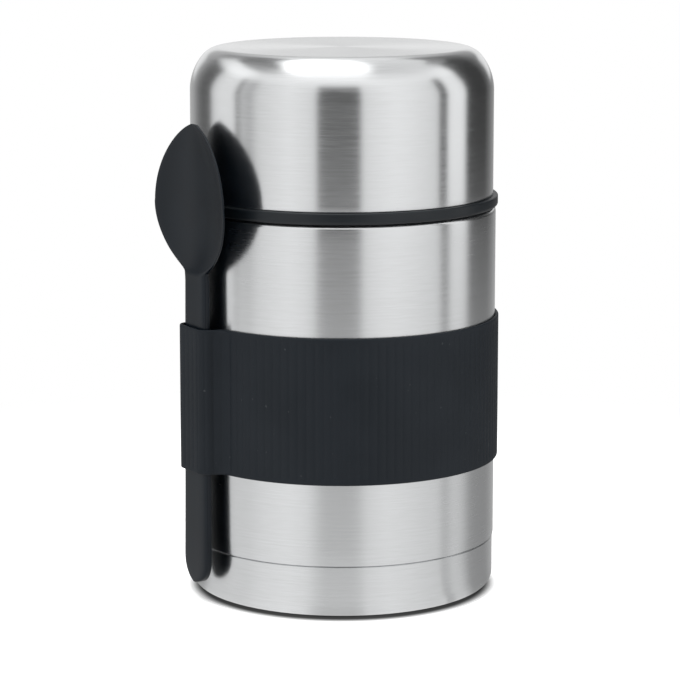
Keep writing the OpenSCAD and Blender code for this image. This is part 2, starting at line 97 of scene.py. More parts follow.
# A profile of radius and height carried round the axis: x = r cos(a), y = r sin(a), z = h.
# bulge(angle, radius, height) moves a point outwards, for threads and flutes
def turnedGrid(profile, segments, bulge=None):
    angle = np.linspace(0, fullTurn, segments, endpoint=False)[None, :]
    radius = profile[:, :1] + 0*angle
    height = profile[:, 1:] + 0*angle
    if bulge is not None:
        radius = radius + bulge(angle + 0*radius, radius, height)
    return np.stack([radius*np.cos(angle), radius*np.sin(angle), height], axis=-1)


# What all the screw threads share
screw = {"lead": 15.0, "starts": 3, "phase": 0.0, "crestHalf": 0.3, "rootHalf": 1.1, "low": 129.4,
         "high": 140.6, "fade": 1.6}


# Height of a screw thread: a rounded ridge along lines that climb by lead in a turn,
# starts of them side by side, fading in and out between low and high
def threadRidge(angle, height, thread):
    lead, low, high, fade = sizesOf(thread, "lead low high fade")
    pitch = lead/thread["starts"]
    along = (height - lead*angle/fullTurn)/pitch + thread["phase"]
    fromCrest = np.abs(along - np.round(along))*pitch
    ridge = 1 - eased(fromCrest, thread["crestHalf"], thread["rootHalf"])
    within = eased(height, low, low + fade)*(1 - eased(height, high - fade, high))
    return thread["depth"]*ridge*within


def newObject(name, data):
    piece = bpy.data.objects.new(name, data)
    bpy.context.scene.collection.objects.link(piece)
    return piece


# A piece from a grid of points in millimetres: quads between neighbours, rows closed into a ring or
# ended by a fan to a middle point, columns always closed, faces turned outwards by the signed volume
def gridPiece(name, grid, body, finish, stands, closedRows=True, sharpDeg=40):
    rows, columns = grid.shape[:2]
    points = grid.reshape(-1, 3)
    here = np.arange(rows*columns).reshape(rows, columns)
    beside = np.roll(here, -1, axis=1)
    quads = np.stack([here, beside, np.roll(beside, -1, axis=0), np.roll(here, -1, axis=0)], axis=-1)
    faces = [(quads if closedRows else quads[:-1]).reshape(-1, 4)]
    if not closedRows:
        middle = len(points)
        points = np.vstack([points, grid[0].mean(axis=0), grid[-1].mean(axis=0)])
        faces.append(np.stack([beside[0], here[0], 0*here[0] + middle], axis=-1))
        faces.append(np.stack([here[-1], beside[-1], 0*here[0] + middle + 1], axis=-1))
    volume = 0
    for group in faces:
        corner = points[group]
        for k in range(1, group.shape[1] - 1):
            volume += np.sum(corner[:, 0]*np.cross(corner[:, k], corner[:, k + 1]))
    if volume < 0:
        faces = [group[:, ::-1] for group in faces]
    mesh = bpy.data.meshes.new(name)
    mesh.from_pydata((points*mm).tolist(), [], [face for group in faces for face in group.tolist()])
    mesh.shade_smooth()
    mesh.set_sharp_from_angle(angle=math.radians(sharpDeg))
    mesh.materials.append(bpy.data.materials[finish])
    piece = newObject(name, mesh)
    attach(piece, body)
    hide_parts(*stands)
    print("made", name, "with", len(mesh.polygons), "faces")
    return piece


# A piece turned from a profile in as many segments as its sizes say, which replaces one node
def turnedPiece(name, profile, sizes, body, finish, node, bulge=None, closedRows=True):
    grid = turnedGrid(profile, sizes["segments"], bulge)
    gridPiece(name, grid, body, finish, [node], closedRows)


# A shader socket that can stand in a sum: each operator adds one Math node
class Wire:
    def __init__(self, sheet, socket):
        self.sheet = sheet
        self.socket = socket

    def __add__(self, other):
        return self.sheet.maths("ADD", self, other)

    def __sub__(self, other):
        return self.sheet.maths("SUBTRACT", self, other)

    def __rsub__(self, other):
        return self.sheet.maths("SUBTRACT", other, self)

    def __mul__(self, other):
        return self.sheet.maths("MULTIPLY", self, other)

    __radd__, __rmul__ = __add__, __mul__

    def __truediv__(self, other):
        return self.sheet.maths("DIVIDE", self, other)

    def __pow__(self, other):
        return self.sheet.maths("POWER", self, other)

    # 0 below low, 1 above high and eased between them
    def easedBetween(self, low, high):
        return self.sheet.add("ShaderNodeMapRange", {"interpolation_type": "SMOOTHSTEP"},
                              {"Value": self, "From Min": low, "From Max": high})

    def towards(self, other, share):
        return self + (other - self)*share


# The node tree of a material or of the world
class Sheet:
    def __init__(self, tree):
        self.tree = tree
        tree.nodes.clear()

    # Adds a node of one kind: its settings first, then the values or links of its sockets
    def add(self, kind, settings=None, sockets=None, output=0):
        node = self.tree.nodes.new(kind)
        for key, value in (settings or {}).items():
            if key == "stops":
                ramp = node.color_ramp.elements
                while len(ramp) < len(value):
                    ramp.new(0.5)
                for stop, (place, colour) in zip(ramp, value):
                    stop.position = place
                    stop.color = (*colour, 1)
            else:
                setattr(node, key, value)
        for key, value in (sockets or {}).items():
            if isinstance(value, Wire):
                self.tree.links.new(value.socket, node.inputs[key])
            else:
                node.inputs[key].default_value = value
        return Wire(self, node.outputs[output]) if len(node.outputs) else None

    def maths(self, operation, *values):
        return self.add("ShaderNodeMath", {"operation": operation}, dict(enumerate(values)))

    # The place of a point on its piece, in metres: the whole vector and its three parts
    def place(self):
        spot = self.add("ShaderNodeTexCoord", output="Object")
        parts = self.add("ShaderNodeSeparateXYZ", sockets={0: spot})
        outputs = parts.socket.node.outputs
        return spot, *(Wire(self, outputs[k]) for k in range(3))

    def vector(self, x, y, z):
        return self.add("ShaderNodeCombineXYZ", sockets={0: x, 1: y, 2: z})

    # Smooth noise from 0 to 1 at a place; scale is in features to a metre where the place is in metres
    def noise(self, spot, scale, detail=2.0, roughness=0.5):
        return self.add("ShaderNodeTexNoise", sockets={
            "Vector": spot, "Scale": scale, "Detail": detail, "Roughness": roughness})

    def blended(self, share, *colours):
        first, second = (value if isinstance(value, Wire) else (*value, 1) for value in colours)
        sockets = {"Factor": share, "A": first, "B": second}
        return self.add("ShaderNodeMix", {"data_type": "RGBA"}, sockets, output="Result")

    def finishAs(self, shader):
        self.add("ShaderNodeOutputMaterial", sockets={"Surface": shader})

    # A surface with a bump from its grain
    def surface(self, look, colour, rough, grain, others):
        bump = {"Height": grain, "Strength": look["bump"], "Distance": look["bumpHeight"]}
        self.finishAs(self.add("ShaderNodeBsdfPrincipled", sockets={
            "Base Color": colour, "Roughness": rough,
            "Normal": self.add("ShaderNodeBump", sockets=bump), **others}))


def newSheet(name):
    material = bpy.data.materials.new(name)
    material.use_nodes = True
    return material, Sheet(material.node_tree)


bodyLook = {
    "longLines": 22, "fineLines": 3600, "dashes": 190, "dashLines": 2600, "fineShare": 0.6, "grainLow": 0.3,
    "grainHigh": 0.7, "dark": (0.715, 0.725, 0.73), "light": (0.765, 0.775, 0.785), "markScale": 26,
    "markLow": 0.4, "markHigh": 0.75, "markShare": 0.25, "markRough": 0.02, "roughness": 0.24,
    "roughSpread": 0.16, "bump": 0.05, "bumpHeight": 0.0001, "anisotropy": 0.68, "lobeTurn": 0.25}
blackLook = {
    "cloudScale": 60, "cloudLow": 0.35, "cloudHigh": 0.65, "grainScale": 5200, "metal": 0.0,
    "dark": (0.0042, 0.0072, 0.0100), "light": (0.0058, 0.0092, 0.0126), "specular": 0.42,
    "roughness": 0.40, "roughSpread": 0.10, "cloudRough": 0.08, "bump": 0.10, "bumpHeight": 0.00004}


# Spun steel: fine grooves run round the axis, level on a side and in circles on a flat top, because
# the pattern's last part is height less radius. The lobe is long across the grooves.
# Slow clouds of handling marks lie over the grooves, in the roughness and a little in the colour
def spunSteel(name, **changes):
    steel = {**bodyLook, **changes}
    sheet = newSheet(name)[1]
    spot, x, y, z = sheet.place()
    across = z - (x*x + y*y)**0.5
    long, dashes, fineShare = sizesOf(steel, "longLines dashes fineShare")
    fine = sheet.vector(x*long, y*long, across*steel["fineLines"])
    fine = sheet.noise(fine, scale=1, detail=3.0, roughness=0.6)
    dash = sheet.noise(sheet.vector(x*dashes, y*dashes, across*steel["dashLines"]), scale=1)
    marks = sheet.noise(spot, steel["markScale"], detail=3.0, roughness=0.6)
    marks = marks.easedBetween(steel["markLow"], steel["markHigh"])
    grain = fine*fineShare + dash*(1 - fineShare)
    shade = grain.easedBetween(steel["grainLow"], steel["grainHigh"])
    colour = sheet.blended(shade, steel["dark"], steel["light"])
    colour = sheet.blended(marks*steel["markShare"], colour, steel["dark"])
    rough = steel["roughness"] + (grain - 0.5)*steel["roughSpread"] + marks*steel["markRough"]
    sheet.surface(steel, colour, rough, grain, {
        "Metallic": 1.0, "Anisotropic": steel["anisotropy"], "Anisotropic Rotation": steel["lobeTurn"]})


# Moulded plastic or rubber: slow clouds in the colour, a fine grain in roughness and bump, and
# pale specks of dust where the look has them. Metal that isn't spun is made by it too
def moulded(name, **changes):
    look = {**blackLook, **changes}
    sheet = newSheet(name)[1]
    spot = sheet.place()[0]
    clouds = sheet.noise(spot, look["cloudScale"])
    grain = sheet.noise(spot, look["grainScale"], detail=3.0, roughness=0.6)
    shade = clouds.easedBetween(look["cloudLow"], look["cloudHigh"])
    colour = sheet.blended(shade, look["dark"], look["light"])
    if "specks" in look:
        speck, soft = sizesOf(look, "specks speckSoft")
        share = sheet.noise(spot, look["speckScale"], detail=0.0).easedBetween(speck, speck + soft)
        colour = sheet.blended(share, colour, look["speckColour"])
    rough = look["roughness"] + (grain - 0.5)*look["roughSpread"] + (clouds - 0.5)*look["cloudRough"]
    sheet.surface(look, colour, rough, grain, {
        "Metallic": look["metal"], "Specular IOR Level": look["specular"]})


spunSteel("bodySteel")
spunSteel("lidSteel", roughness=0.20, roughSpread=0.20, bump=0.04, anisotropy=0.62)
spunSteel("linerSteel", dark=(0.64, 0.65, 0.66), light=(0.70, 0.71, 0.72), roughness=0.34, anisotropy=0.5)
moulded("rimPlastic")
moulded("spoonPlastic", dark=(0.0026, 0.0056, 0.0096), light=(0.0038, 0.0074, 0.0120), roughness=0.33,
        specular=0.27)
moulded("sleeveSilicone", dark=(0.0052, 0.0086, 0.0130), light=(0.0075, 0.0112, 0.0160), cloudScale=45,
        grainScale=3800, roughness=0.58, bump=0.20, bumpHeight=0.00005, specular=0.30, specks=0.845,
        speckSoft=0.02, speckScale=700, speckColour=(0.032, 0.037, 0.042))
moulded("milkySilicone", dark=(0.56, 0.58, 0.60), light=(0.66, 0.68, 0.70), cloudScale=90, roughness=0.42)
moulded("sealSilicone", dark=(0.040, 0.041, 0.045), light=(0.058, 0.059, 0.064), cloudScale=120,
        roughness=0.52)
moulded("stopperPlastic", dark=(0.030, 0.031, 0.034), light=(0.040, 0.041, 0.045), roughness=0.46,
        bump=0.16)
moulded("buttonPlastic", dark=(0.175, 0.183, 0.192), light=(0.215, 0.224, 0.236))
moulded("foamWhite", dark=(0.80, 0.77, 0.68), light=(0.93, 0.91, 0.84), cloudScale=300, grainScale=1400,
        roughness=0.9, bump=0.8, bumpHeight=0.0003)
bareMetal = {"metal": 1.0, "specular": 0.5, "grainScale": 2600}
moulded("springWire", **bareMetal, dark=(0.54, 0.55, 0.56), light=(0.64, 0.65, 0.66), roughness=0.3,
        bump=0.2)
moulded("getterMetal", **bareMetal, dark=(0.24, 0.24, 0.25), light=(0.36, 0.36, 0.37), roughness=0.72,
        bump=0.6)
moulded("beadMetal", **bareMetal, dark=(0.44, 0.40, 0.27), light=(0.56, 0.52, 0.37), cloudScale=400,
        roughness=0.5, bump=0.2)
print("finishes made")


# Outer shell, from the step inside the base cap up over the shoulder to the lip, and back down inside
shell = {
    "radius": 50.0, "wall": 0.6, "seamTop": 16.9, "seamEdge": 0.35, "stepRadius": 49.0, "footHeight": 5.8,
    "shoulderHeight": 125.4, "shoulderEdge": 1.4, "neckRadius": 41.0, "neckFillet": 1.5,
    "lipHeight": 141.75, "leastEdge": 0.02, "segments": 320}
neckThread = {**screw, "depth": 0.95, "low": 128.4}


# One side of the shell's wall, moved inwards by inset
def shellSide(inset):
    edge = max(shell["seamEdge"] - inset, shell["leastEdge"])
    low, root = shell["seamTop"] + inset, shell["neckFillet"] + inset
    step, side, shoulder, corner, neck = (
        size - inset for size in sizesOf(shell, "stepRadius radius shoulderHeight shoulderEdge neckRadius"))
    rootX, rootZ = neck + root, shoulder + root
    return joinedRuns(
        cornerRun([(step, shell["footHeight"]), (step, low), (side - edge, low)], [6, 2]),
        arcRun(side - edge, low + edge, edge, -90, 0, 6),
        lineRun((side, low + edge), (side, shoulder - corner), 24),
        arcRun(side - corner, shoulder - corner, corner, 0, 90, 14),
        lineRun((side - corner, shoulder), (rootX, shoulder), 6),
        arcRun(rootX, rootZ, root, 270, 180, 12),
        lineRun((neck, rootZ), (neck, shell["lipHeight"]), 64))


# The thread is on the neck's outside only
def shellBulge(angle, radius, height):
    onNeck = (radius < shell["neckRadius"] + nearly) & (height > neckThread["low"])
    return np.where(onNeck, threadRidge(angle, height, neckThread), 0)


shellLoop = joinedRuns(shellSide(0), shellSide(shell["wall"])[::-1])
turnedPiece("outerShell", shellLoop, shell, "jar", "bodySteel", "outer_shell", shellBulge)


# Inner liner: the rounded lip of the mouth, the food cavity, and the wall's other side back up
liner = {
    "wall": 0.5, "mouth": 38.5, "lipEdge": 1.25, "lipHeight": shell["lipHeight"], "fillet": 2.0, "top": 119.8,
    "radius": 44.4, "shoulderEdge": 3.5, "cornerEdge": 8.5, "floor": 12.3, "middle": 0.4, "segments": 240}


# The cavity's side from the floor's middle up to the lip, moved outwards by grow
def linerSide(grow):
    side, low, top, mouth, corner, shoulder, fillet = sizesOf(
        liner, "radius floor top mouth cornerEdge shoulderEdge fillet")
    rootX, rootZ = mouth + fillet, top + fillet
    return joinedRuns(
        lineRun((liner["middle"], low - grow), (side - corner, low - grow), 16),
        arcRun(side - corner, low + corner, corner + grow, -90, 0, 18),
        lineRun((side + grow, low + corner), (side + grow, top - shoulder), 24),
        arcRun(side - shoulder, top - shoulder, shoulder + grow, 0, 90, 12),
        arcRun(rootX, rootZ, fillet - grow, 270, 180, 10),
        lineRun((mouth + grow, rootZ), (mouth + grow, liner["lipHeight"]), 10))


lipArc = arcRun(liner["mouth"] + liner["lipEdge"], liner["lipHeight"], liner["lipEdge"], 0, 180, 17)
linerRows = joinedRuns(linerSide(liner["wall"]), lipArc, linerSide(0)[::-1])
turnedPiece("innerLiner", linerRows, liner, "jar", "linerSteel", "inner_liner",
            closedRows=False)


# Base cap: an upright side, the rounded foot, a flat ring and the raised panel
base = {"radius": 49.7, "sheet": 0.55, "seam": 16.6, "edge": 4.0, "footWidth": 7.5, "rise": 1.8,
        "panelEdge": 1.2, "lipEdge": 0.2, "middle": 0.4, "segments": 300}


# One side of the cap's sheet from the seam down to the panel's middle, moved inwards by inset
def baseSide(inset):
    radius, edge, panel = base["radius"], base["edge"], base["rise"] + inset
    inner = radius - edge - base["footWidth"] + inset
    panelEdge = base["panelEdge"] - base["sheet"] + inset
    return joinedRuns(
        lineRun((radius - inset, base["seam"] - base["lipEdge"]), (radius - inset, edge), 10),
        arcRun(radius - edge, edge, edge - inset, 0, -90, 18),
        cornerRun([(radius - edge, inset), (inner, inset), (inner, panel - panelEdge)], [6, 3]),
        arcRun(inner - panelEdge, panel - panelEdge, panelEdge, 0, 90, 8),
        lineRun((inner - panelEdge, panel), (base["middle"], panel), 10))


capTop = [(base["radius"] - base[inset], base["seam"]) for inset in ("lipEdge", "sheet")]
baseRows = joinedRuns(baseSide(0)[::-1], capTop, baseSide(base["sheet"]))
turnedPiece("baseCap", baseRows, base, "jar", "bodySteel", "base_cap", closedRows=False)


# Lid shell: an upright side on a rolled edge, a large arc, a small arc and the flat top
lid = {"radius": 49.12, "top": 176.9, "domeHeight": 13.8, "domeWidth": 9.8, "topArc": 7.5, "sheet": 0.6,
       "low": 129.4, "rolled": 0.3, "middle": 0.4, "segments": 360}
lid["sideArc"] = ((lid["domeWidth"]**2 + lid["domeHeight"]**2 - 2*lid["domeHeight"]*lid["topArc"])
                  / (2*(lid["domeWidth"] - lid["topArc"])))


# One side of a dome's wall from low up to the middle, moved inwards by inset
def domeSide(inset, low, sideRows=20):
    radius, top, sideArc, topArc = sizesOf(lid, "radius top sideArc topArc")
    sideX, sideZ = radius - sideArc, top - lid["domeHeight"]
    topX, topZ = radius - lid["domeWidth"], top - topArc
    turn = math.degrees(math.atan2(topZ - sideZ, topX - sideX))
    return joinedRuns(
        lineRun((radius - inset, low), (radius - inset, sideZ), sideRows),
        arcRun(sideX, sideZ, sideArc - inset, 0, turn, 30),
        arcRun(topX, topZ, topArc - inset, turn, 90, 18),
        lineRun((topX, top - inset), (lid["middle"], top - inset), 30))


rolledEdge = arcRun(lid["radius"] - lid["rolled"], lid["low"] + lid["rolled"], lid["rolled"], 0, -90, 7)
dome = domeSide(0, lid["low"] + lid["rolled"])
lidRows = joinedRuns(dome[::-1], rolledEdge, domeSide(lid["sheet"], lid["low"]))
turnedPiece("lidShell", lidRows, lid, "lid", "lidSteel", "lid_shell", closedRows=False)


# Lid bowl: the black rim ring outside, the snap band inside the steel, the bowl and its thread
bowl = {
    "inset": 1.45, "wall": 1.8, "rimRadius": 50.7, "low": 125.7, "high": 129.4, "lowEdge": 1.2,
    "topEdge": 0.5, "snapHeight": 4.0, "snapGap": 0.05, "grooveIn": 46.95, "grooveOut": 48.85,
    "grooveTop": 127.7, "segments": 280}
bowl["inner"] = lid["radius"] - bowl["inset"] - bowl["wall"]
bowlThread = {**screw, "phase": 0.5, "depth": -0.95, "rootHalf": 1.0}


def bowlRows():
    inner, low, high, rim, lowEdge, topEdge = sizesOf(bowl, "inner low high rimRadius lowEdge topEdge")
    grooveIn, grooveOut, grooveTop = sizesOf(bowl, "grooveIn grooveOut grooveTop")
    snap, snapTop = lid["radius"] - lid["sheet"] - bowl["snapGap"], high + bowl["snapHeight"]
    return joinedRuns(
        domeSide(bowl["inset"] + bowl["wall"], low, sideRows=150)[::-1],
        [(inner, low), (grooveIn, low), (grooveIn, grooveTop), (grooveOut, grooveTop), (grooveOut, low)],
        arcRun(rim - lowEdge, low + lowEdge, lowEdge, -90, 0, 14),
        arcRun(rim - topEdge, high - topEdge, topEdge, 0, 90, 8),
        cornerRun([(snap, high), (snap, snapTop), (lid["radius"] - bowl["inset"], snapTop)], [4, 2]),
        domeSide(bowl["inset"], snapTop, sideRows=10))


# The thread is cut into the bowl's inside only
def bowlBulge(angle, radius, height):
    return np.where(radius < bowl["inner"] + nearly, threadRidge(angle, height, bowlThread), 0)


turnedPiece("lidBowl", bowlRows(), bowl, "lid", "rimPlastic", "lid_bowl", bowlBulge,
            closedRows=False)


# Sleeve: a ribbed silicone band whose wall opens into the spoon's pocket on the -X side.
# Its outline from above is a row of arcs and lines with as many points outside as inside
sleeve = {
    "low": 43.3, "high": 90.2, "outer": 51.2, "inner": 50.05, "skinHalf": 9.05, "skinOut": 57.05,
    "skinCorner": 4.3, "skinRoot": 6.0, "hollowHalf": 7.95, "hollowOut": 55.95, "hollowCorner": 2.15,
    "hollowRoot": 0.35, "edge": 0.5, "ribPitch": 2.8, "ribDepth": 0.20, "ribFade": 2.0, "ribPower": 0.55,
    "ribPoints": 9, "ringSteps": 900, "rootSteps": 24, "innerRootSteps": 6, "cornerSteps": 18,
    "faceSteps": 30}


# Half of an outline beside the +X axis, from the ring to the middle of the pocket's face, below the axis.
# The root's arc touches the ring, and the corner's arc touches the face
def skinRun():
    out, half, edge, root = sizesOf(sleeve, "skinOut skinHalf skinCorner skinRoot")
    corner = np.array([out - edge, half - edge])
    reach, step = sleeve["outer"] + root, edge + root
    share = (corner @ corner + reach*reach - step*step)/(2*np.linalg.norm(corner)*reach)
    turn = math.degrees(math.atan2(corner[1], corner[0]) + math.acos(share))
    middle = reach*np.array([math.cos(math.radians(turn)), math.sin(math.radians(turn))])
    tilt = math.degrees(math.atan2(middle[1] - corner[1], middle[0] - corner[0]))
    return turn, joinedRuns(
        arcRun(middle[0], -middle[1], root, 180 - turn, 180 - tilt, sleeve["rootSteps"]),
        arcRun(corner[0], -corner[1], edge, -tilt, 0, sleeve["cornerSteps"]))


# The same for the hollow, whose sides are straight between the root's arc and the corner's
def hollowRun():
    out, half, edge, root = sizesOf(sleeve, "hollowOut hollowHalf hollowCorner hollowRoot")
    rootSteps, innerRootSteps, cornerSteps = sizesOf(sleeve, "rootSteps innerRootSteps cornerSteps")
    midX = math.sqrt((sleeve["inner"] + root)**2 - (half + root)**2)
    turn = math.degrees(math.atan2(half + root, midX))
    return turn, joinedRuns(
        arcRun(midX, -half - root, root, 180 - turn, 90, innerRootSteps),
        lineRun((midX, -half), (out - edge, -half), rootSteps - innerRootSteps + 1),
        arcRun(out - edge, edge - half, edge, -90, 0, cornerSteps))


# The whole outline: round the ring, along one half of the pocket, over its face and back along the other
def wholeOutline(ring, halfRun):
    turn, half = halfRun
    mirrored = (half*[1, -1])[::-1]
    face = lineRun(half[-1], mirrored[0], sleeve["faceSteps"])
    around = arcRun(0, 0, ring, turn, 360 - turn, sleeve["ringSteps"])
    return -joinedRuns(around, half, face, mirrored)[:-1]


# Round the wall's cross-section: up the outside, over the rounded edge, down the inside and back under.
# across is 0 inside and 1 outside, height is in millimetres
def wallLoop():
    edge, low, high, fade = sizesOf(sleeve, "edge low high ribFade")
    fadeLow, fadeHigh = low + edge + fade, high - edge - fade
    outside = np.concatenate([np.linspace(low + edge, fadeLow, 7), np.linspace(fadeLow, fadeHigh, 8)[1:],
                              np.linspace(fadeHigh, high - edge, 7)[1:]])
    turn = np.radians(np.linspace(0, 90, 6))[1:]
    share = edge/(sleeve["outer"] - sleeve["inner"])
    sine, cosine = np.sin(turn), np.cos(turn)
    across = np.concatenate([0*outside + 1, 1 - share + share*cosine, share - share*sine, [0, 0],
                             share - share*cosine, 1 - share + share*sine[:-1]])
    height = np.concatenate([outside, high - edge + edge*sine, high - edge + edge*cosine, [(low + high)/2],
                             [low + edge], low + edge - edge*sine, low + edge - edge*cosine[:-1]])
    return across, height


# The wall between both outlines, with upright grooves cut into its outside at an even pitch:
# a groove is depth*(1 - |sin|**power), and fades out near the sleeve's edges
def sleeveGrid():
    outer = wholeOutline(sleeve["outer"], skinRun())
    inner = wholeOutline(sleeve["inner"], hollowRun())
    closed = np.vstack([outer, outer[:1]])
    run = np.concatenate([[0], np.cumsum(np.linalg.norm(np.diff(closed, axis=0), axis=1))])
    ribs = round(run[-1]/sleeve["ribPitch"])
    count = ribs*sleeve["ribPoints"]
    places = np.arange(count)*run[-1]/count
    outer, inner = (
        np.stack([np.interp(places, run, np.append(line[:, k], line[0, k])) for k in (0, 1)], axis=1)
        for line in (outer, inner))
    wave = np.abs(np.sin(math.pi*np.arange(count)/sleeve["ribPoints"]))**sleeve["ribPower"]
    tangent = np.roll(outer, -1, axis=0) - np.roll(outer, 1, axis=0)
    tangent = tangent/np.linalg.norm(tangent, axis=1)[:, None]
    normal = np.stack([tangent[:, 1], -tangent[:, 0]], axis=1)
    across, height = wallLoop()
    low, high, length = sleeve["low"] + sleeve["edge"], sleeve["high"] - sleeve["edge"], sleeve["ribFade"]
    fade = eased(height, low, low + length)*(1 - eased(height, high - length, high))
    depth = np.where(across == 1, fade, 0)[:, None]*sleeve["ribDepth"]*(1 - wave)[None, :]
    flat = inner[None]*(1 - across[:, None, None]) + outer[None]*across[:, None, None]
    flat = flat - normal[None]*depth[:, :, None]
    return np.concatenate([flat, height[:, None, None] + 0*flat[:, :, :1]], axis=-1)


gridPiece("sleeveBand", sleeveGrid(), "jar", "sleeveSilicone", ["sleeve"], sharpDeg=60)


# Spoon: one closed outline across at each height, an oval with soft edges bent to the bowl's hollow
spoon = {
    "foot": 6.5, "length": 148.4, "endWidth": 15.4, "neckWidth": 13.2, "thickness": 3.2, "back": 52.0,
    "lean": 0.5, "bowlWidth": 45.7, "bowlLength": 47.6, "bowlWall": 1.5, "bowlOut": 2.0, "upShare": 0.564,
    "behindBowl": 51.05, "neckBlend": 11.0, "endShare": 0.52, "thinEdge": 0.35, "edgePower": 0.55,
    "tipPower": 0.69, "lowPower": 0.6, "hollowPower": 0.8, "blendPower": 3.1, "sides": 88, "footRows": 18,
    "handleRows": 24, "neckRows": 44, "bowlRows": 48, "firstDeg": 5, "lastDeg": 89.4}


# Half the width is (handle**p + bowl**p)**(1/p). The handle's end is round, and the bowl's half width is
# (1 - off*off)**power, where off goes from 0 at its widest to 1 at its ends. The front steps out with
# the bowl, and the hollow bends each outline back by hollow*(1 - across*across)
def spoonGrid():
    foot, length, thickness, bowlOut, bowlWall, blend = sizesOf(
        spoon, "foot length thickness bowlOut bowlWall neckBlend")
    front, tip = spoon["back"] + thickness, foot + length
    up = spoon["bowlLength"]*spoon["upShare"]
    down = spoon["bowlLength"] - up
    middle = tip - up
    bowlLow = middle - down
    neckLow = bowlLow - blend/3
    endLength = spoon["endShare"]*spoon["endWidth"]
    endTop = foot + endLength
    height = np.concatenate([
        endTop - endLength*np.cos(np.radians(np.linspace(spoon["firstDeg"], 90, spoon["footRows"]))),
        np.linspace(endTop, neckLow, spoon["handleRows"])[1:],
        np.linspace(neckLow, middle, spoon["neckRows"])[1:],
        middle + up*np.sin(np.radians(np.linspace(0, spoon["lastDeg"], spoon["bowlRows"])))[1:]])
    onTop = height > middle
    fromFoot = np.clip((height - foot)/(bowlLow - foot), 0, 1)
    endOff = np.clip(1 - (height - foot)/endLength, 0, 1)
    taper = spoon["endWidth"] + (spoon["neckWidth"] - spoon["endWidth"])*fromFoot
    handleHalf = np.where(onTop, 0, taper/2*np.sqrt(1 - endOff**2))
    off = np.clip(np.where(onTop, (height - middle)/up, (middle - height)/down), 0, 1)
    bowlHalf = spoon["bowlWidth"]/2*(1 - off**2)**np.where(onTop, spoon["tipPower"], spoon["lowPower"])
    half = (handleHalf**spoon["blendPower"] + bowlHalf**spoon["blendPower"])**(1/spoon["blendPower"])
    out = np.where(onTop, 1 - off**2, eased(height, neckLow, middle))
    face = front + spoon["lean"]*(1 - fromFoot) + bowlOut*out
    thick = thickness + (bowlWall - thickness)*eased(height, neckLow, neckLow + blend)
    thick = thick*np.minimum(1, spoon["thinEdge"] + half/bowlWall/2)
    hollow = (front + bowlOut - bowlWall - spoon["behindBowl"])*(1 - off**2)**spoon["hollowPower"]
    angle = np.linspace(0, fullTurn, spoon["sides"], endpoint=False)[None, :]
    waves = np.cos(angle), np.sin(angle)
    across, through = (np.sign(wave)*np.abs(wave)**spoon["edgePower"] for wave in waves)
    thick, half, face, hollow, height = (values[:, None] for values in (thick, half, face, hollow, height))
    x = -(face - thick/2 + through*thick/2 - hollow*(1 - across**2))
    return np.stack([x, across*half, height + 0*across], axis=-1)


gridPiece("spoonBody", spoonGrid(), "spoon", "spoonPlastic", ["spoon"], closedRows=False,
          sharpDeg=70)


# Stopper cap: the skirt with a thread on each side, the top plate, and the well for the vent button.
# Finger flutes are hollows of their own radius round the skirt's upper edge
cap = {
    "skirtIn": 42.3, "skirtOut": 44.6, "low": 128.2, "lowEdge": 0.575, "plateLow": 146.95, "top": 149.15,
    "topEdge": 2.0, "wellIn": 9.15, "wellOut": 10.95, "wellFloor": 143.4, "wellLow": 142.0, "hole": 3.05,
    "rim": 0.4, "fluteLow": 141.15, "flutes": 24, "fluteRadius": 2.4, "fluteDeep": 0.45, "fluteFade": 1.0,
    "grooveIn": 34.6, "grooveOut": 36.4, "grooveDeep": 0.35, "segments": 432}
capThreadIn = {**screw, "phase": 0.5, "depth": -1.0, "low": 129.0, "high": 140.9}
capThreadOut = {**screw, "depth": 1.0}


def capLoop():
    skirtIn, skirtOut, low, lowEdge, top, topEdge = sizesOf(cap, "skirtIn skirtOut low lowEdge top topEdge")
    wellIn, wellOut, wellFloor, wellLow, hole = sizesOf(cap, "wellIn wellOut wellFloor wellLow hole")
    plateLow, rim, deep = sizesOf(cap, "plateLow rim grooveDeep")
    return joinedRuns(
        lineRun((skirtIn, low), (skirtOut - lowEdge, low), 3),
        arcRun(skirtOut - lowEdge, low + lowEdge, lowEdge, -90, 0, 6),
        lineRun((skirtOut, low + lowEdge), (skirtOut, top - topEdge), 84),
        arcRun(skirtOut - topEdge, top - topEdge, topEdge, 0, 90, 10),
        arcRun(cap["grooveOut"], top - deep, deep, 90, 180, 4),
        arcRun(cap["grooveIn"], top - deep, deep, 0, 90, 4),
        arcRun(wellIn + rim, top - rim, rim, 90, 180, 6),
        cornerRun([(wellIn, top - rim), (wellIn, wellFloor), (hole, wellFloor), (hole, wellLow),
                   (wellOut, wellLow), (wellOut, plateLow), (skirtIn, plateLow), (skirtIn, low)],
                  [6, 5, 3, 5, 5, 12, 84])[:-1])


# A flute is the part of a circle inside the skirt: d cos(a) - (r*r - d*d sin(a)**2)**0.5
def fluteDepth(angle, radius, height):
    flute, low = cap["fluteRadius"], cap["fluteLow"]
    pitch = fullTurn/cap["flutes"]
    off = angle - np.round(angle/pitch)*pitch
    distance = cap["skirtOut"] + flute - cap["fluteDeep"]
    inside = np.clip(flute**2 - (distance*np.sin(off))**2, 0, None)
    cut = np.where(inside > 0, np.minimum(distance*np.cos(off) - np.sqrt(inside) - radius, 0), 0)
    return cut*eased(height, low, low + cap["fluteFade"])


